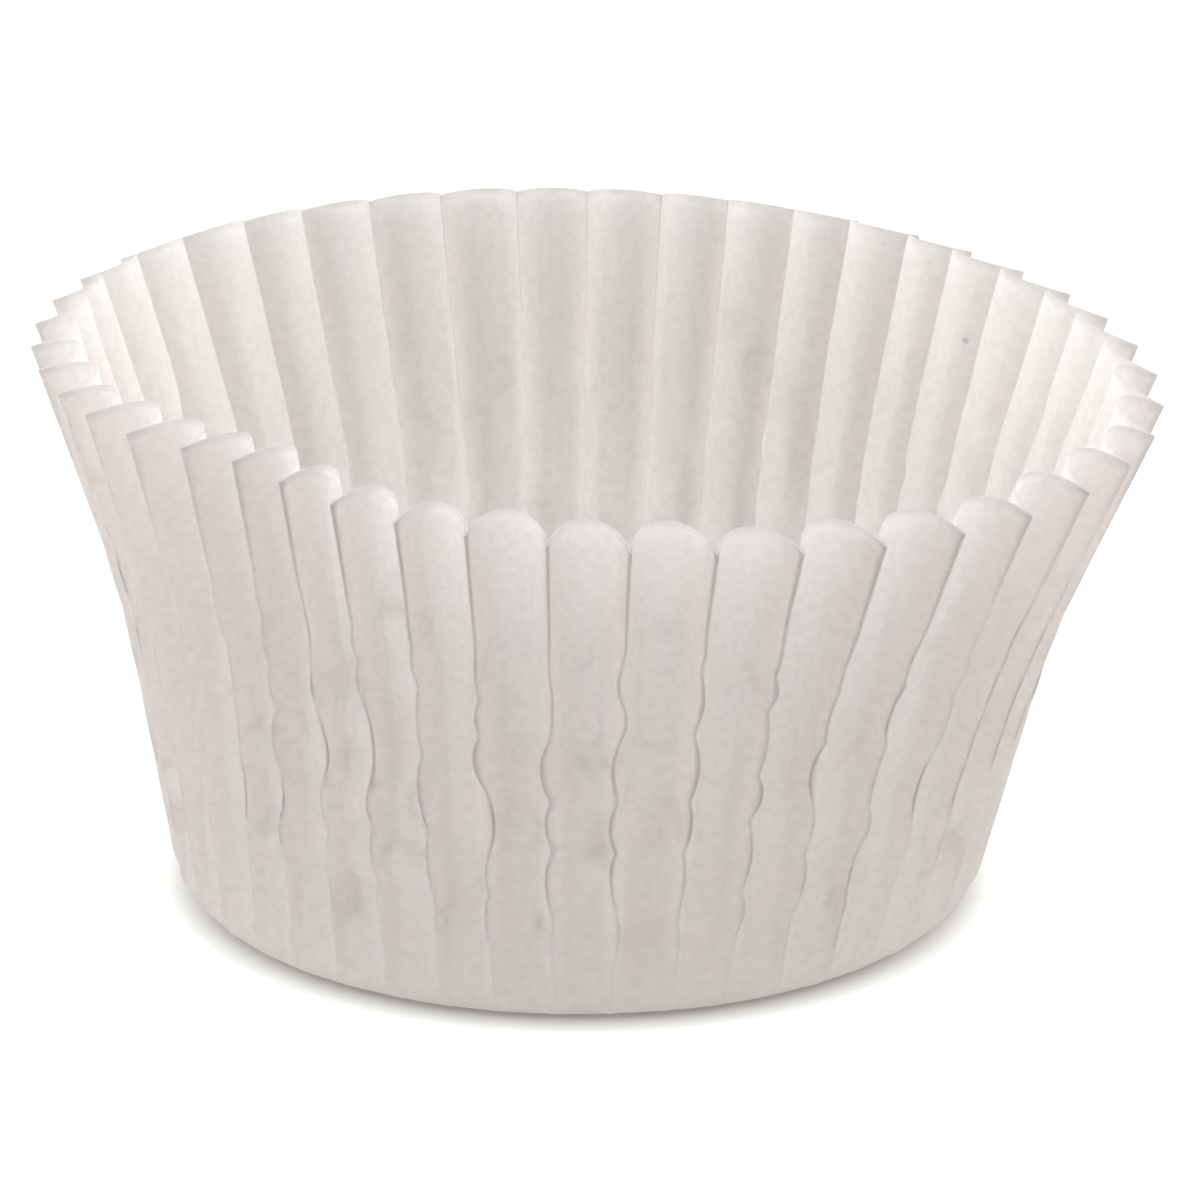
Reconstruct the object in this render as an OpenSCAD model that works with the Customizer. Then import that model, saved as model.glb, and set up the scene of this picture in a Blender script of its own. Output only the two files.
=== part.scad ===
// Pleated paper cup for baking, pressed from one flat disc.
// The origin is the centre of the underside, and +Z points up the cup.
// The crease line, the outer edge of every pleat, is set by its slope.
// The wall then leans in and out a little around the cup, as soft paper does.
// The pleats take up the paper that the narrowed wall has left over.

/* [Paper] */
// Diameter of the flat disc before pressing
disc_d = 127; // [116:1:136]
// Thickness of the paper
paper = 0.1; // [0.06:0.01:0.12]

/* [Base] */
// Diameter of the flat part of the base
base_d = 48.5; // [42:0.5:54]
// Radius of the corner where the base turns up into the wall
corner_r = 3; // [1.5:0.5:5]

/* [Wall] */
// Slope of the lower wall, in degrees from upright
lower_slope = 12.5; // [6:0.5:16]
// Slope of the flared rim, in degrees from upright
rim_slope = 21; // [17:0.5:30]
// Length of paper from the flat base to the start of the flare
flare_from = 17; // [12:1:20]
// Length of paper that the flare bends over
flare_run = 12; // [6:1:16]

/* [Pleats] */
// Number of pleats around the wall
pleats = 44; // [36:1:52]
// Width over the two layers of a folded crease
crease_w = 0.36; // [0.3:0.02:0.5]
// Sharpness of the pleats below the flare, where 1 is as round as at the rim
press_ratio = 1.7; // [1:0.1:2]
// Turn of the first crease around the cup
first_crease_angle = -84; // [-90:0.5:90]
// Drift of the creases from even steps, once and twice around the cup
drift_angle = 1.4; // [0:0.1:2]
drift_at = 48; // [-180:1:180]
double_drift_angle = 1.2; // [0:0.1:1.6]
double_drift_at = 54; // [-90:1:90]

/* [Lean of the wall] */
// Zero for all three leans gives a true round cup.
// Two opposite sides lean in by this many degrees, and the sides between them out
squash_angle = 3.8; // [0:0.1:5]
squash_at = 43; // [-90:1:90]
// The whole wall leans over, in on this side and out on the other
tip_angle = 1.7; // [0:0.1:2.5]
tip_at = -157; // [-180:1:180]
// One narrow dent leans in further
dent_angle = 3; // [0:0.1:4]
dent_at = -133; // [-180:1:180]
dent_spread_angle = 14; // [10:1:30]

/* [Hidden] */
paper_white = [0.91, 0.89, 0.87];
// Sides of one rounded lobe, from crease to crease
lobe_sides = 7;
columns = pleats * (lobe_sides + 1);
// Lengths of paper from the edge of the flat base
wall_run = (disc_d - base_d) / 2;
corner_turn = 90 - lower_slope;
corner_run = arc_length(corner_r, corner_turn);
flare_to = flare_from + flare_run;
flare_turn = rim_slope - lower_slope;
flare_r = flare_run / arc_length(1, flare_turn);
// Rings of the loft, each at a length of paper from the flat base
rings = [
    0,
    corner_run / 2,
    corner_run,
    flare_from,
    flare_from + flare_run / 2,
    flare_to,
    wall_run
];
// Halvings that set a pleat's depth to its paper
depth_steps = 24;

function arc_length(radius, turn) = radius * turn * PI / 180;

// Slope of the crease line at run s, in degrees from upright
function slope(s) =
    s < corner_run ? 90 - corner_turn * s / corner_run :
    s < flare_from ? lower_slope :
    s < flare_to ? lower_slope + flare_turn * (s - flare_from) / flare_run :
    rim_slope;

// Step of the given length along a line at a slope, as [out, up]
function along(length, angle) = length * [sin(angle), cos(angle)];

// Crease line at run s as [radius, height]: corner arc, straight wall, flare arc, straight rim
function corner_point(s) =
    [base_d / 2, paper / 2] + corner_r * [cos(slope(s)), 1 - sin(slope(s))];
function lower_point(s) =
    corner_point(corner_run) + along(s - corner_run, lower_slope);
function flare_point(s) =
    lower_point(flare_from)
    + flare_r * [cos(lower_slope) - cos(slope(s)), sin(slope(s)) - sin(lower_slope)];
function rim_point(s) =
    flare_point(flare_to) + along(s - flare_to, rim_slope);
function crease_point(s) =
    s <= corner_run ? corner_point(min(s, corner_run)) :
    s <= flare_from ? lower_point(s) :
    s <= flare_to ? flare_point(s) :
    rim_point(s);

// Turn of crease k around the cup
function crease_turn(k) =
    let (even = first_crease_angle + 360 * k / pleats)
    even + drift_angle * cos(even - drift_at) + double_drift_angle * cos(2 * (even - double_drift_at));

// Degrees by which the wall leans in, at a turn and a height above the base
function lean(turn, height) =
    let (
        away = turn - dent_at,
        off = away - 360 * round(away / 360),
        whole = squash_angle * cos(2 * (turn - squash_at))
            + tip_angle * cos(turn - tip_at)
            + dent_angle * exp(-pow(off / dent_spread_angle, 2))
    )
    whole * min(1, height / corner_r);

// A point of the true cup, as [radius, height], leant in about the edge of the flat base
function leant(point, turn) =
    let (
        out = point[0] - base_d / 2,
        up = point[1] - paper / 2,
        angle = lean(turn, up),
        radius = base_d / 2 + out * cos(angle) - up * sin(angle),
        height = paper / 2 + up * cos(angle) + out * sin(angle)
    )
    [radius * cos(turn), radius * sin(turn), height];

// Pleat k of a ring of the paper's middle layer: a lobe between two creases, pointing inward
function lobe(k, s, depth) =
    let (
        crease = crease_point(s),
        tilt = slope(s),
        fold = (crease_w - paper) / 2 / crease[0] * 180 / PI,
        start = crease_turn(k) + fold,
        end = crease_turn(k + 1) - fold,
        flare = min(1, max(0, (s - flare_from) / flare_run)),
        sharp = press_ratio + (1 - press_ratio) * flare
    )
    [for (i = [0 : lobe_sides])
        let (
            t = 180 * i / lobe_sides,
            turn = start + (end - start) * (1 - cos(t)) / 2,
            inward = depth * pow(sin(t), sharp)
        )
        leant(crease + inward * [-cos(tilt), sin(tilt)], turn)
    ];

// Length of paper around one pleat, with the top of its fold
function pleat_length(points) =
    let (steps = [for (i = [1 : lobe_sides]) norm(points[i] - points[i - 1])])
    crease_w - paper + steps * [for (step = steps) 1];

// Depth at which pleat k at run s holds the paper that its share of the flat disc has there
function pleat_depth(k, s, low = 0, high = wall_run / 4, left = depth_steps) =
    let (
        middle = (low + high) / 2,
        held = pleat_length(lobe(k, s, middle)),
        flat = arc_length(base_d / 2 + s, crease_turn(k + 1) - crease_turn(k))
    )
    left == 0 ? middle :
    held < flat ? pleat_depth(k, s, middle, high, left - 1) :
    pleat_depth(k, s, low, middle, left - 1);

// One ring of the paper's middle layer
function ring(s) =
    [for (k = [0 : pleats - 1]) each lobe(k, s, s == 0 ? 0 : pleat_depth(k, s))];

// Mitred directions that thicken a ring square to both of a point's sides
function mitres(points, s) =
    let (count = len(points))
    [for (j = [0 : count - 1])
        let (
            here = points[j],
            reach = norm([here[0], here[1]]),
            tilt = slope(s) - lean(atan2(here[1], here[0]), here[2] - paper / 2),
            up_wall = [
                here[0] / reach * sin(tilt),
                here[1] / reach * sin(tilt),
                cos(tilt)
            ],
            before = cross(here - points[(j + count - 1) % count], up_wall),
            after = cross(points[(j + 1) % count] - here, up_wall),
            a = before / norm(before),
            b = after / norm(after)
        )
        (a + b) / (1 + a * b)
    ];

// One face of the paper at run s: side 1 is outside, -1 is inside
function skin(s, side) =
    let (middle = ring(s), out = mitres(middle, s))
    [for (j = [0 : columns - 1]) middle[j] + side * paper / 2 * out[j]];

// Two triangles across each gap between two rings of points
function band(low, high) =
    [for (j = [0 : columns - 1])
        let (k = (j + 1) % columns)
        each [
            [low + j, high + j, high + k],
            [low + j, high + k, low + k]
        ]
    ];

module liner() {
    count = len(rings);
    outside = [for (s = rings) each skin(s, 1)];
    inside = [for (s = rings) each skin(s, -1)];
    inner_start = count * columns;
    rim_start = (count - 1) * columns;
    outer_wall = [for (i = [0 : count - 2]) each band(i * columns, (i + 1) * columns)];
    inner_wall = [for (i = [0 : count - 2])
        each band(inner_start + (i + 1) * columns, inner_start + i * columns)
    ];
    rim_edge = band(rim_start, inner_start + rim_start);
    underside = [for (j = [0 : columns - 1]) j];
    floor_face = [for (j = [columns - 1 : -1 : 0]) inner_start + j];
    color(paper_white)
        polyhedron(
            points = concat(outside, inside),
            faces = concat(outer_wall, inner_wall, rim_edge, [underside, floor_face]),
            convexity = 10
        );
}

liner();
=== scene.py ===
# Pleated paper baking cup: folds, crushed creases and greaseproof paper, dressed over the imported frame
import math

import bpy
import numpy as np
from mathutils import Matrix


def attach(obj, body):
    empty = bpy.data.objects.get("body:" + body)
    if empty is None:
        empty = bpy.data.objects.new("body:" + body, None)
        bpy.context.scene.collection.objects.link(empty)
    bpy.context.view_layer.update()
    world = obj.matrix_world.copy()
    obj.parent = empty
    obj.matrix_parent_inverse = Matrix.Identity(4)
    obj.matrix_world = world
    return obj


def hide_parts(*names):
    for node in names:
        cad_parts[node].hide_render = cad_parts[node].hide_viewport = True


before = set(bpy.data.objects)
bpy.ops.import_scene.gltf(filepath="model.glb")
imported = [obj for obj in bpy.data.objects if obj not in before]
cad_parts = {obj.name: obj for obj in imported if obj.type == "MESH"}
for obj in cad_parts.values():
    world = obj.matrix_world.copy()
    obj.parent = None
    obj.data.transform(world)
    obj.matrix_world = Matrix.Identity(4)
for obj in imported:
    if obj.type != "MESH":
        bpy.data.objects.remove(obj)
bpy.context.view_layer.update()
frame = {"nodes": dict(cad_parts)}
print("frame loaded:", ", ".join(frame["nodes"]))

# Camera: a long lens, a little above the rim, level with the table
view = {
    "target": (0.00150, 0.0, 0.01945),
    "distance": 0.520,
    "elevation": 19.63,
    "roll": 0.27,
    "lens": 234.7,
    "sensor": 36.0,
    "clip": (0.01, 20.0),
}


def makeCamera(v):
    # The camera stands back from its target along the view line, then turns about that line by the roll
    rise, roll = math.radians(v["elevation"]), math.radians(v["roll"])
    forward = np.array([0.0, math.cos(rise), -math.sin(rise)])
    right = np.array([1.0, 0.0, 0.0])
    up = np.cross(right, forward)
    place = np.eye(4)
    place[:3, 0] = math.cos(roll) * right + math.sin(roll) * up
    place[:3, 1] = math.cos(roll) * up - math.sin(roll) * right
    place[:3, 2] = -forward
    place[:3, 3] = np.array(v["target"]) - forward * v["distance"]
    data = bpy.data.cameras.new("camera")
    data.lens = v["lens"]
    data.sensor_width = v["sensor"]
    data.clip_start, data.clip_end = v["clip"]
    camera = bpy.data.objects.new("camera", data)
    camera.matrix_world = place.T.tolist()
    bpy.context.scene.collection.objects.link(camera)
    bpy.context.scene.camera = camera


makeCamera(view)
print("camera placed")

# The cup, in metres and degrees. A run is a length of paper from the edge of the flat base.
# A wave is (waves round the cup, size, direction of its crest).
cup = {
    # The flat disc, and its profile: flat base, corner, straight wall, flare and straight rim
    "discAcross": 0.127,
    "flatAcross": 0.0485,
    "paper": 0.00006,
    "cornerRadius": 0.003,
    "lowerSlope": 12.5,
    "rimSlope": 21.0,
    "flareFrom": 0.017,
    "flareRun": 0.012,
    # Pleats: steep sides and a low crown, round again at the rim
    "pleats": 44,
    "firstCrease": -84.0,
    "sideShare": 0.5,  # of half a pleat's width
    "crownShare": 0.12,  # of a pleat's depth
    "roundRim": 0.009,  # run below the rim in which the pleats turn round
    "creaseWidth": (0.00008, 0.00011),  # over the two layers, below and at the rim
    "deepestPleat": 0.012,
    "baseSettle": 0.0065,  # run in which the pleats rise from the flat base
    # Out of true: the wall leans and has one wide dent, the rim is cut uneven and the creases drift
    "leanWaves": ((1, 1.7, -157.0), (2, 3.8, 43.0)),
    "dent": 3.0,
    "dentAt": -133.0,
    "dentSpread": 14.0,
    "cutWaves": ((1, 0.00048, 73.5), (2, 0.00042, -54.0)),
    "driftWaves": ((1, 1.4, 48.0), (2, 1.2, 54.0)),
    "creaseJitter": 0.22,
    "depthJitter": 0.05,  # share of a pleat's depth
    # Crushed creases: arcs between cusps, worst at mid height and gone at the rim
    "arcs": 24,  # more than the longest crease needs
    "arcRun": (0.0028, 0.0060),  # shortest and longest
    "bulge": 0.00070,
    "bulgeShare": (0.35, 1.0),  # least and most of the bulge
    "sameWay": 0.8,  # share of a crease's arcs that bulge the same way
    "cuspShift": 0.00016,
    "cuspDip": 0.00008,
    "crushRuns": (0.0, 0.004, 0.009, 0.013, 0.022, 0.027, 0.032, 0.0393),
    "crushShares": (0.0, 0.08, 0.5, 0.9, 1.0, 0.7, 0.05, 0.0),
    "backShare": 0.45,  # how far the back is crushed, where the front is 1
    "pullFade": 2.5,  # power by which a crease's pull fades across its pleats
    # Crumples and dimples between the creases, the crumples by shares of the wall's run
    "crumples": 14,
    "crumple": 0.00018,
    "crumpleAcross": (0.004, 0.016),
    "wallShares": (0.0, 0.05, 0.25, 0.7, 0.85, 1.0),
    "crumpleShares": (0.0, 0.25, 0.8, 1.0, 0.3, 0.1),
    "dimples": 260,
    "dimple": 0.00055,
    "dimpleAcross": (0.0016, 0.0050),
    "dimpleRuns": (0.008, 0.032),
    # Painted shade: a dark line along each shut crease, most at the front, and a dark crescent by each
    # dimple
    "lineReach": 0.00009,
    "cuspReach": 5.0,  # how much further the painted crease shade reaches at some cusps
    "lineRuns": (0.002, 0.014),  # between which the painted crease shade comes in
    "frontBias": 1.6,  # power that keeps the painted crease shade to the front, the camera's side
    # strength of the painted crescent shade by each dimple
    "crescent": 0.85,
    "crescentAt": 0.65,  # share of a dimple's radius
    "crescentWidth": 0.14,
    # Grid: rings at shares of the flat base, then rows up the wall, with the runs that some of them have
    "columnsPerPleat": 16,
    "baseRings": (0.35, 0.7, 0.93),
    "rowKnots": (0, 7, 55, 65),
    "runKnots": (0.0, 0.0050, 0.0300),  # and the rim's run
    "profileSteps": 4000,
    "archSteps": 65,
    "halvings": 30,
    "seed": 7,
}


def waves(angle, terms):
    # Sum of cosines round the cup, each of its own count, size and crest
    return sum(size * np.cos(count * (angle - math.radians(crest))) for count, size, crest in terms)


def slopeAt(run, c):
    # From upright: 90 degrees on the flat base, evenly less round the corner, evenly more over the flare
    cornerRun = c["cornerRadius"] * math.radians(90 - c["lowerSlope"])
    knots = [0.0, cornerRun, c["flareFrom"], c["flareFrom"] + c["flareRun"]]
    return np.radians(np.interp(run, knots, [90.0, c["lowerSlope"], c["lowerSlope"], c["rimSlope"]]))


def runningSum(values, step):
    # Area under the values up to each of them
    return np.append(0.0, np.cumsum((values[1:] + values[:-1]) / 2 * step))


def creaseLine(run, c):
    # Radius grows by the sine of the slope along the paper, and height by its cosine
    fine = np.linspace(0.0, c["discAcross"] / 2, c["profileSteps"])
    slope = slopeAt(fine, c)
    out = np.interp(run, fine, runningSum(np.sin(slope), fine[1]))
    rise = np.interp(run, fine, runningSum(np.cos(slope), fine[1]))
    return c["flatAcross"] / 2 + np.where(run < 0, run, out), rise


def leanIn(out, up, angle, c):
    # A point of the true wall turned inward about the edge of the base by the lean at its angle
    away = np.angle(np.exp(1j * (angle - math.radians(c["dentAt"]))))
    dent = c["dent"] * np.exp(-(away / math.radians(c["dentSpread"])) ** 2)
    lean = np.radians(waves(angle, c["leanWaves"]) + dent) * np.clip(up / c["cornerRadius"], 0, 1)
    hinge = c["flatAcross"] / 2
    leant = hinge + (out - hinge) * np.cos(lean) - up * np.sin(lean)
    raised = up * np.cos(lean) + (out - hinge) * np.sin(lean)
    return np.where(up > 0, leant, out), np.where(up > 0, raised, up)


def pleatArch(turn, roundness, c):
    # Height across a pleat, where turn t is at -cos t: a quarter sine up each side to a low crown,
    # or sin t where the pleat is round
    side = np.clip((1 - np.abs(np.cos(turn))) / c["sideShare"], 0, 1)
    pressed = (1 - c["crownShare"]) * np.sin(side * math.pi / 2) + c["crownShare"] * np.sin(turn)
    return pressed + (np.sin(turn) - pressed) * roundness


def pleatDepth(half, flat, roundness, c):
    # Depth at which an arch over its half width is as long as its flat paper, found by halving
    turn = np.linspace(0, math.pi, c["archSteps"])
    arch = pleatArch(turn, roundness[..., None], c)
    across = np.diff(-half[..., None] * np.cos(turn), axis=-1)
    low, high = np.zeros_like(half), np.full_like(half, c["deepestPleat"])
    for _ in range(c["halvings"]):
        middle = (low + high) / 2
        length = np.hypot(across, np.diff(middle[..., None] * arch, axis=-1)).sum(axis=-1)
        low, high = np.where(length < flat, middle, low), np.where(length < flat, high, middle)
    return (low + high) / 2


def crushedPath(run, rng, c):
    # Sideways path of one crease: arcs of random length between cusps, most of them bulging the same way,
    # with a dip at each cusp. At some cusps the painted crease shade reaches further, as a dark patch.
    arcs = c["arcs"]
    cusps = np.cumsum(rng.uniform(*c["arcRun"], arcs)) - c["arcRun"][1]
    shift = rng.uniform(-1, 1, arcs) * c["cuspShift"]
    way = np.where(rng.uniform(0, 1, arcs) < c["sameWay"], 1, -1) * rng.choice([-1, 1])
    bulge = rng.uniform(*c["bulgeShare"], arcs) * way * c["bulge"]
    arc = np.clip(np.searchsorted(cusps, run) - 1, 0, arcs - 2)
    share = np.clip((run - cusps[arc]) / (cusps[arc + 1] - cusps[arc]), 0, 1)
    side = shift[arc] * (1 - share) + shift[arc + 1] * share + bulge[arc] * 4 * share * (1 - share)
    near = (1 - np.minimum(share, 1 - share) * 2) ** 2
    cuspShade = rng.uniform(0, 1, arcs)[arc + (share > 0.5)] ** 2
    amount = np.interp(run, c["crushRuns"], c["crushShares"])
    return side * amount, c["cuspDip"] * near * amount, near * cuspShade * amount


def fromCreases(atCrease, nearCrease):
    # What the creases do, carried across the columns of each pleat: each half follows its own crease
    firstHalf = np.arange(len(nearCrease)) < len(nearCrease) / 2
    return np.where(firstHalf, atCrease[..., None], np.roll(atCrease, -1, axis=1)[..., None]) * nearCrease


def crumpleField(x, y, rng, c):
    # Sum of straight folds in random directions, each a triangle wave, the finer the shallower
    field = np.zeros_like(x)
    widest = c["crumpleAcross"][1]
    for _ in range(c["crumples"]):
        heading = rng.uniform(0, 2 * math.pi)
        width = rng.uniform(*c["crumpleAcross"])
        along = (x * math.cos(heading) + y * math.sin(heading)) / width + rng.uniform(0, 1)
        field += width / widest * (4 * np.abs(along - np.floor(along) - 0.5) - 1)
    return field / math.sqrt(c["crumples"])


def dimpleField(x, y, rng, c):
    # Dimples at random places on the disc, (1 - distance squared) squared within each,
    # and a painted crescent of shade round one side of each
    count = c["dimples"]
    reach = c["flatAcross"] / 2 + rng.uniform(*c["dimpleRuns"], count)
    heading = rng.uniform(0, 2 * math.pi, count)
    size = rng.uniform(*c["dimpleAcross"], count) / 2
    push = rng.choice([-1, 1], count) * size / size.max()
    awayX = x[..., None] - reach * np.cos(heading)
    awayY = y[..., None] - reach * np.sin(heading)
    distance = np.minimum(np.hypot(awayX, awayY) / size, 1)
    dimples = ((1 - distance ** 2) ** 2 * push).sum(axis=-1)
    side = rng.uniform(0, 2 * math.pi, count)
    facing = np.clip((awayX * np.cos(side) + awayY * np.sin(side)) / size, 0, 1)
    ring = np.exp(-((distance - c["crescentAt"]) / c["crescentWidth"]) ** 2)
    return dimples, (ring * facing * rng.uniform(0, 1, count)).max(axis=-1)


def paintedCreaseShade(points, run, cuspShade, angle, c):
    # Painted shade along each crease, in place of the shade in the fold: strongest on the crease, and gone
    # a fold's width down its sides.
    # It is strongest at the front, fades out towards the sides and is gone at the back.
    steps = np.linalg.norm(np.diff(points, axis=2), axis=-1)
    down = np.insert(np.cumsum(steps, axis=2), 0, 0, axis=2)
    down = np.minimum(down, down[:, :, -1:] - down)
    reach = c["lineReach"] * (1 + c["cuspReach"] * cuspShade)[:, :, None]
    creaseShade = np.exp(-(down / reach) ** 2) * np.interp(run, c["lineRuns"], [0, 1])[:, None, None]
    return creaseShade * np.clip(-np.sin(angle), 0, 1) ** c["frontBias"]


def cupSurface(c):
    # Middle layer of the paper on a grid of rows by pleats by columns.
    # A pleat's turn t puts a point across it at -cos t, and its arch there pushes the point inward.
    rng = np.random.default_rng(c["seed"])
    pleats, flatRadius = c["pleats"], c["flatAcross"] / 2
    wallRun = (c["discAcross"] - c["flatAcross"]) / 2
    wall = np.interp(np.arange(c["rowKnots"][-1] + 1), c["rowKnots"], (*c["runKnots"], wallRun))
    run = np.concatenate([-flatRadius * (1 - np.array(c["baseRings"])), wall])
    share = np.clip(run / wallRun, 0, 1)
    radius, height = creaseLine(run, c)
    nearRim = np.clip(1 - (wallRun - run) / c["roundRim"], 0, 1)
    fold = np.interp(nearRim, [0, 1], c["creaseWidth"])

    # Creases round the cup, with their drift and jitter, and each pleat's depth from its share of the disc
    even = np.arange(pleats) * 2 * math.pi / pleats + math.radians(c["firstCrease"])
    crease = even + np.radians(waves(even, c["driftWaves"]) + rng.normal(0, c["creaseJitter"], pleats))
    width = np.append(crease[1:], crease[0] + 2 * math.pi) - crease
    leantRadius, _ = leanIn(radius[:, None], height[:, None], crease + width / 2, c)
    half = leantRadius * width / 2 - fold[:, None] / 2
    flat = (flatRadius + run[:, None]) * width - fold[:, None]
    depth = pleatDepth(half, flat, np.broadcast_to(nearRim[:, None], half.shape), c)
    settled = np.clip(run / c["baseSettle"], 0, 1)[:, None]
    depth = depth * (1 + rng.normal(0, c["depthJitter"], pleats)) * settled * (2 - settled)

    # Crushed creases pull the paper beside them along, less towards the back of the cup
    side, dip, cuspShade = np.stack([crushedPath(run, rng, c) for _ in range(pleats)], axis=-1)
    crushed = np.interp(np.sin(crease), [-1, 1], [1, c["backShare"]])
    turn = np.linspace(0, math.pi, c["columnsPerPleat"])
    nearCrease = (1 - np.sin(turn)) ** c["pullFade"]
    ring = radius[:, None, None]
    halfWidth = width[:, None] / 2
    across = halfWidth - (halfWidth - fold[:, None, None] / 2 / ring) * np.cos(turn)
    angle = crease[:, None] + across + fromCreases(side * crushed, nearCrease) / ring
    arch = depth[:, :, None] * pleatArch(turn, nearRim[:, None, None], c)
    inward = arch + fromCreases(dip * crushed, nearCrease)

    # Crumples push the wall in and out where the cup was squeezed, but not the creases, which hold it up
    flatAngle = crease[:, None] + width[:, None] * turn / math.pi
    planX = (flatRadius + run)[:, None, None] * np.cos(flatAngle)
    planY = (flatRadius + run)[:, None, None] * np.sin(flatAngle)
    dimples, crescentShade = dimpleField(planX, planY, rng, c)
    squeezed = c["crumple"] * np.interp(share, c["wallShares"], c["crumpleShares"])[:, None, None]
    pushed = squeezed * crumpleField(planX, planY, rng, c) + c["dimple"] * dimples
    inward = inward + pushed * (1 - nearCrease)

    # The uneven cut moves points along the wall, the arches move them square to it, and then the wall leans
    cut = waves(angle, c["cutWaves"]) * share[:, None, None] ** 2
    tilt = slopeAt(run, c)[:, None, None]
    out = ring + cut * np.sin(tilt) - inward * np.cos(tilt)
    up = height[:, None, None] + cut * np.cos(tilt) + inward * np.sin(tilt)
    out, up = leanIn(out, up, angle, c)
    points = np.stack([out * np.cos(angle), out * np.sin(angle), up + c["paper"] / 2], axis=-1)

    # The outside carries the painted crease shade and the painted crescents, and the inside only the
    # crescents
    crescentShade = c["crescent"] * crescentShade
    paintedShadeValues = np.stack([np.maximum(paintedCreaseShade(points, run, cuspShade, angle, c), crescentShade), crescentShade])
    return points.reshape(len(run), -1, 3), np.stack([planX, planY], axis=-1).reshape(-1, 2), paintedShadeValues.ravel()


def skins(points, thickness):
    # Both faces of the paper: half its thickness each way along the surface's own normal
    along = np.gradient(points, axis=0)
    around = np.roll(points, -1, axis=1) - np.roll(points, 1, axis=1)
    normal = np.cross(around, along)
    normal /= np.linalg.norm(normal, axis=-1, keepdims=True)
    return points + normal * thickness / 2, points - normal * thickness / 2


def bandFaces(low, high, columns):
    # Quads between two rings of points, closed round the cup
    here = np.arange(columns)
    after = (here + 1) % columns
    return np.stack([low + here, low + after, high + after, high + here], axis=1)


def cupFaces(rows, columns):
    # Bands up the outside, up the inside and over the rim, then fans that close the underside and floor
    half = rows * columns
    bands = [bandFaces(i * columns, (i + 1) * columns, columns) for i in range(rows - 1)]
    bands += [bandFaces(half + (i + 1) * columns, half + i * columns, columns) for i in range(rows - 1)]
    bands += [bandFaces(half - columns, 2 * half - columns, columns)]
    here = np.arange(columns)
    after = (here + 1) % columns
    under = np.stack([np.full(columns, 2 * half), after, here], axis=1)
    floor = np.stack([np.full(columns, 2 * half + 1), half + here, half + after], axis=1)
    return np.concatenate(bands).tolist() + under.tolist() + floor.tolist()


def makeCup(c):
    # One closed sheet: the outside, the inside, and a point at the middle of each
    middle, plan, paintedShadeValues = cupSurface(c)
    outside, inside = skins(middle, c["paper"])
    centres = np.array([[0.0, 0.0, 0.0], [0.0, 0.0, c["paper"]]])
    vertices = np.concatenate([outside.reshape(-1, 3), inside.reshape(-1, 3), centres])
    mesh = bpy.data.meshes.new("paperCup")
    mesh.from_pydata(vertices.tolist(), [], cupFaces(*middle.shape[:2]))
    mesh.update()
    mesh.shade_smooth()

    # The flat disc's own plan as the UV map, so that patterns follow the paper into the folds
    flat = np.concatenate([plan, plan, np.zeros((2, 2))])
    corner = np.empty(len(mesh.loops), dtype=np.int32)
    mesh.loops.foreach_get("vertex_index", corner)
    mesh.uv_layers.new(name="discPlan")
    mesh.uv_layers["discPlan"].data.foreach_set("uv", (0.5 + flat[corner] / c["discAcross"]).ravel())

    # Painted shade for the material: the dark crease lines and the crescents by the dimples
    paintedShade = mesh.attributes.new("paintedShade", "FLOAT", "POINT")
    paintedShade.data.foreach_set("value", np.append(paintedShadeValues, (0.0, 0.0)).astype(np.float32))
    piece = bpy.data.objects.new("paperCup", mesh)
    bpy.context.scene.collection.objects.link(piece)
    return piece


paperCup = makeCup(cup)
print("paper cup folded:", len(paperCup.data.polygons), "faces")

# Greaseproof paper: warm white, cloudy against the light, with a soft tooth, one dark speck and painted
# shade along the creases.
# Each noise is (scale, detail, roughness), and the speck's place is on the disc's plan.
paper = {
    "warm": (0.93, 0.902, 0.893),
    "cool": (0.92, 0.91, 0.89),
    "warmToCool": (0.40, 0.62),
    "glow": (0.94, 0.919, 0.906),
    "glowShare": 0.80,
    "cloud": (34.0, 5.0, 0.6),
    "fleck": (190.0, 4.0, 0.65),
    "fibre": (420.0, 3.0, 0.5),
    "fleckRange": (0.3, 0.6),
    "mottle": (0.938, 1.0),
    # how dark the painted crease shade makes the surface colour
    "creaseShadeTone": 0.30,
    "speckAt": (0.8738, 0.7616),
    "speckAcross": 0.0042,
    "speckTone": 0.80,
    "tooth": (0.35, 0.00002),
    "roughness": 0.62,
    "shine": 0.35,
}


def newMaterial(name):
    material = bpy.data.materials.new(name)
    material.use_nodes = True
    material.node_tree.nodes.clear()
    return material, material.node_tree.nodes, material.node_tree.links


def addNode(nodes, kind, values=None, **settings):
    # A shader node with its settings, and with values on its sockets by name or number
    node = nodes.new("ShaderNode" + kind)
    for name, value in settings.items():
        setattr(node, name, value)
    for socket, value in (values or {}).items():
        node.inputs[socket].default_value = value
    return node


def addNoise(nodes, noise):
    # A cloudy pattern from (scale, detail, roughness)
    return addNode(nodes, "TexNoise", dict(zip(("Scale", "Detail", "Roughness"), noise)))


def addRange(nodes, low=0.0, high=1.0, fromLow=0.0, fromHigh=1.0):
    # An even change from low to high, held at both ends
    ends = {"From Min": fromLow, "From Max": fromHigh, "To Min": low, "To Max": high}
    return addNode(nodes, "MapRange", ends)


def join(links, *joins):
    # Each join is a node, its output, another node and its input
    for source, output, target, socket in joins:
        links.new(source.outputs[output], target.inputs[socket])


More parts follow.
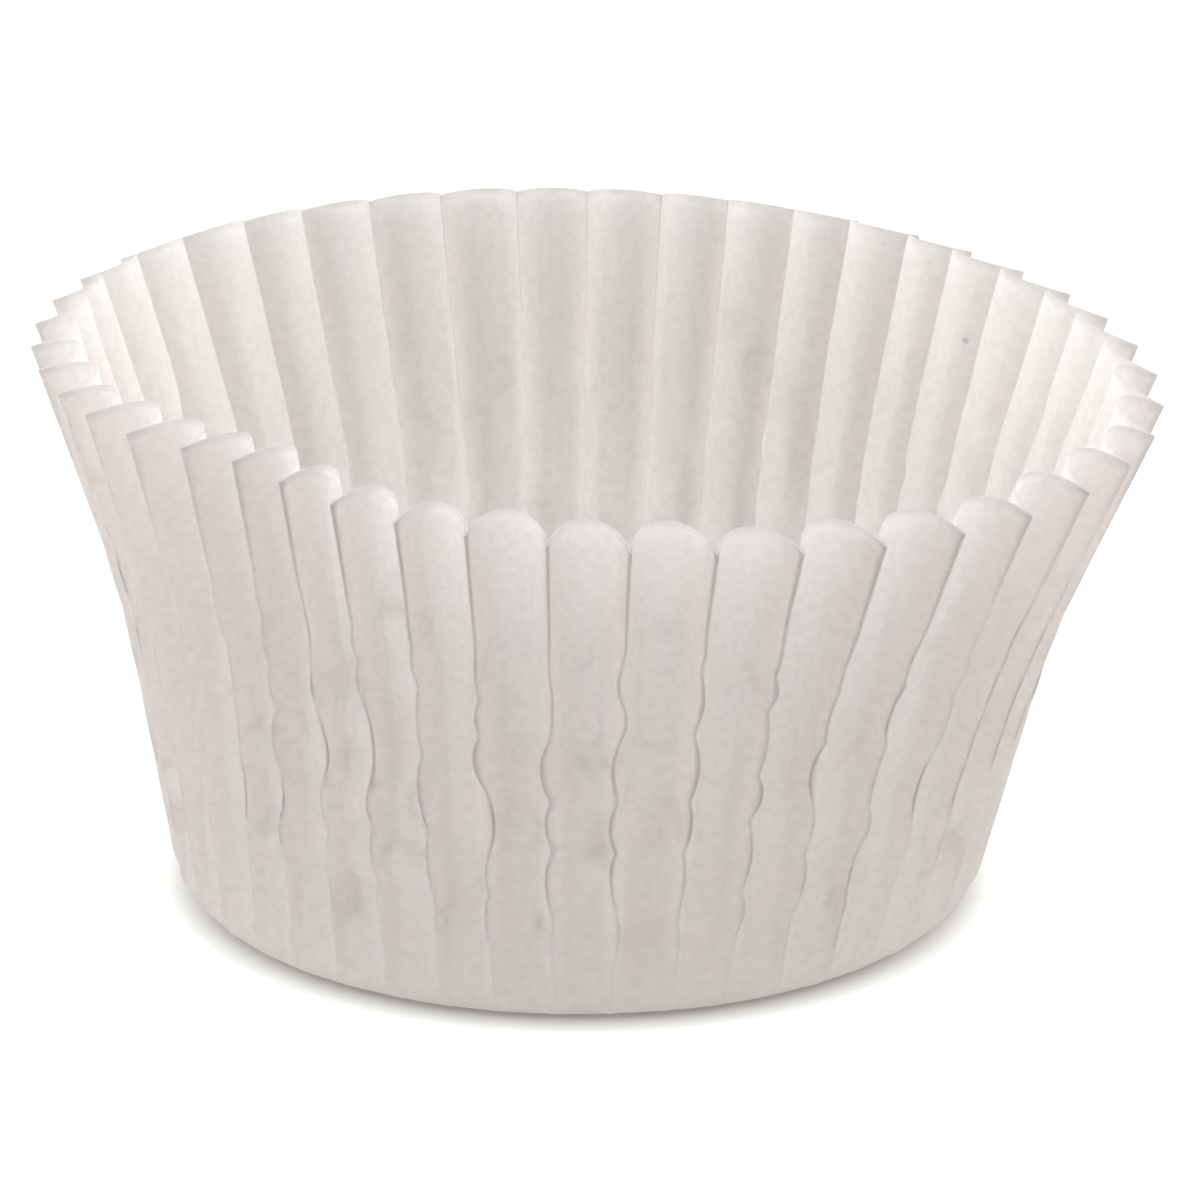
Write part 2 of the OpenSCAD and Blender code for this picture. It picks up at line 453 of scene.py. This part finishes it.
def paperMaterial(p):
    # A matt surface mixed with light through the paper: flecks and the speck tone darken both, and the
    # painted crease and crescent shade darkens only the surface
    material, nodes, links = newMaterial("greaseproofPaper")
    plan = addNode(nodes, "UVMap", uv_map="discPlan")
    cloud = addNoise(nodes, p["cloud"])
    fleck = addNoise(nodes, p["fleck"])
    fibre = addNoise(nodes, p["fibre"])
    # Painted shade from the mesh: crease lines and dimple crescents
    paintedShade = addNode(nodes, "Attribute", attribute_name="paintedShade")
    tint = addNode(nodes, "ValToRGB")
    for stop, position, colour in zip(tint.color_ramp.elements, p["warmToCool"], (p["warm"], p["cool"])):
        stop.position = position
        stop.color = (*colour, 1)
    mottle = addRange(nodes, *p["mottle"], *p["fleckRange"])
    away = addNode(nodes, "VectorMath", {1: (*p["speckAt"], 0.0)}, operation="DISTANCE")
    speck = addRange(nodes, p["speckTone"], 1.0, p["speckAcross"] / 4, p["speckAcross"] / 2)
    # Darkens the surface colour by the painted shade
    crease = addRange(nodes, 1.0, p["creaseShadeTone"])
    speckled = addNode(nodes, "Math", operation="MULTIPLY")
    tone = addNode(nodes, "Math", operation="MULTIPLY")
    surfaceColour = addNode(nodes, "VectorMath", operation="SCALE")
    glowColour = addNode(nodes, "VectorMath", {0: p["glow"]}, operation="SCALE")
    tooth = addNode(nodes, "Bump", dict(zip(("Strength", "Distance"), p["tooth"])))
    finish = {"Roughness": p["roughness"], "Specular IOR Level": p["shine"]}
    surface = addNode(nodes, "BsdfPrincipled", finish)
    glow = addNode(nodes, "BsdfTranslucent")
    mix = addNode(nodes, "MixShader", {"Fac": p["glowShare"]})
    output = addNode(nodes, "OutputMaterial")
    join(
        links,
        (plan, "UV", cloud, "Vector"),
        (plan, "UV", fleck, "Vector"),
        (plan, "UV", fibre, "Vector"),
        (plan, "UV", away, 0),
        (cloud, "Fac", tint, "Fac"),
        (fleck, "Fac", mottle, "Value"),
        (fibre, "Fac", tooth, "Height"),
        (away, "Value", speck, "Value"),
        (paintedShade, "Fac", crease, "Value"),
        (mottle, "Result", speckled, 0),
        (speck, "Result", speckled, 1),
        (speckled, "Value", tone, 0),
        (crease, "Result", tone, 1),
        (tint, "Color", surfaceColour, 0),
        (tone, "Value", surfaceColour, "Scale"),
        (speckled, "Value", glowColour, "Scale"),
        (surfaceColour, "Vector", surface, "Base Color"),
        (tooth, "Normal", surface, "Normal"),
        (glowColour, "Vector", glow, "Color"),
        (surface, "BSDF", mix, 1),
        (glow, "BSDF", mix, 2),
        (mix, "Shader", output, "Surface"),
    )
    return material


paperCup.data.materials.append(paperMaterial(paper))
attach(paperCup, "root")
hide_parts("liner")
print("paper finished")

# Studio: a pale table that the camera sees as white, soft light all round and a lamp at each corner.
# The painted shadow fade is the distances from the middle between which the table's glow comes in; inside
# it a dark ring is painted round the base.
# Each lamp is (name, place, level), and all of them aim at one height on the cup's axis.
studio = {
    "tableAcross": 6.0,
    "tableGap": 0.0001,
    "tableColour": (0.54, 0.535, 0.505),
    "tableGlow": 0.62,
    "paintedShadowFade": (0.0250, 0.0279),
    "frontLevel": 1.50,
    "backLevel": 1.55,
    "topLevel": 0.78,
    "lampSize": (0.24, 0.08),
    "lampAim": 0.02,
    "lamps": (
        ("leftLamp", (-0.311, -0.126, 0.064), 6.8),
        ("rightLamp", (0.311, -0.126, 0.064), 5.5),
        ("leftRearLamp", (-0.291, 0.168, 0.064), 6.4),
        ("rightRearLamp", (0.291, 0.168, 0.064), 5.8),
    ),
}


def makeTable(s):
    # Matt, with a glow that only the camera sees. The glow fades out under and just round the cup, a
    # painted contact shadow over the table's own shadow, and the table lies a hair below the cup, so that
    # light gets in between and back up through the paper.
    material, nodes, links = newMaterial("whiteTable")
    matt = addNode(nodes, "BsdfDiffuse", {"Color": (*s["tableColour"], 1)})
    place = addNode(nodes, "TexCoord")
    away = addNode(nodes, "VectorMath", operation="LENGTH")
    # Painted shadow: the camera-only glow is dimmed near the cup
    fade = addRange(nodes, 0.0, s["tableGlow"], *s["paintedShadowFade"])
    seen = addNode(nodes, "LightPath")
    level = addNode(nodes, "Math", operation="MULTIPLY")
    white = addNode(nodes, "Emission")
    both = addNode(nodes, "AddShader")
    output = addNode(nodes, "OutputMaterial")
    join(
        links,
        (place, "Object", away, 0),
        (away, "Value", fade, "Value"),
        (seen, "Is Camera Ray", level, 0),
        (fade, "Result", level, 1),
        (level, "Value", white, "Strength"),
        (matt, "BSDF", both, 0),
        (white, "Emission", both, 1),
        (both, "Shader", output, "Surface"),
    )
    half, top = s["tableAcross"] / 2, -s["tableGap"]
    corners = [(-half, -half, top), (half, -half, top), (half, half, top), (-half, half, top)]
    mesh = bpy.data.meshes.new("table")
    mesh.from_pydata(corners, [], [(0, 1, 2, 3)])
    mesh.materials.append(material)
    table = bpy.data.objects.new("table", mesh)
    bpy.context.scene.collection.objects.link(table)


def makeWorld(s):
    # Soft light with a level each for the front, the back and overhead, and white where the camera sees it
    world = bpy.data.worlds.new("studio")
    bpy.context.scene.world = world
    world.use_nodes = True
    nodes, links = world.node_tree.nodes, world.node_tree.links
    nodes.clear()
    direction = addNode(nodes, "TexCoord")
    split = addNode(nodes, "SeparateXYZ")
    depth = addRange(nodes, s["frontLevel"], s["backLevel"], -1.0, 1.0)
    height = addRange(nodes, high=s["topLevel"])
    seen = addNode(nodes, "LightPath")
    level = addRange(nodes)
    sky = addNode(nodes, "Background")
    output = addNode(nodes, "OutputWorld")
    join(
        links,
        (direction, "Generated", split, "Vector"),
        (split, "Y", depth, "Value"),
        (split, "Z", height, "Value"),
        (depth, "Result", height, "To Min"),
        (seen, "Is Camera Ray", level, "Value"),
        (height, "Result", level, "To Min"),
        (level, "Result", sky, "Strength"),
        (sky, "Background", output, "Surface"),
    )


def makeLamp(name, place, level, s):
    # A soft lamp that faces the cup, as wide and high as its size; its power grows with its area
    wide, high = s["lampSize"]
    data = bpy.data.lights.new(name, "AREA")
    data.shape = "RECTANGLE"
    data.size_y, data.size = wide, high
    data.energy = level * wide * high * math.pi
    lamp = bpy.data.objects.new(name, data)
    x, y, z = place
    lamp.location = place
    lamp.rotation_euler = (0.0, math.atan2(math.hypot(x, y), z - s["lampAim"]), math.atan2(y, x))
    bpy.context.scene.collection.objects.link(lamp)


makeTable(studio)
makeWorld(studio)
for name, place, level in studio["lamps"]:
    makeLamp(name, place, level, studio)
bpy.context.scene.view_settings.view_transform = "Standard"
print("studio lit")
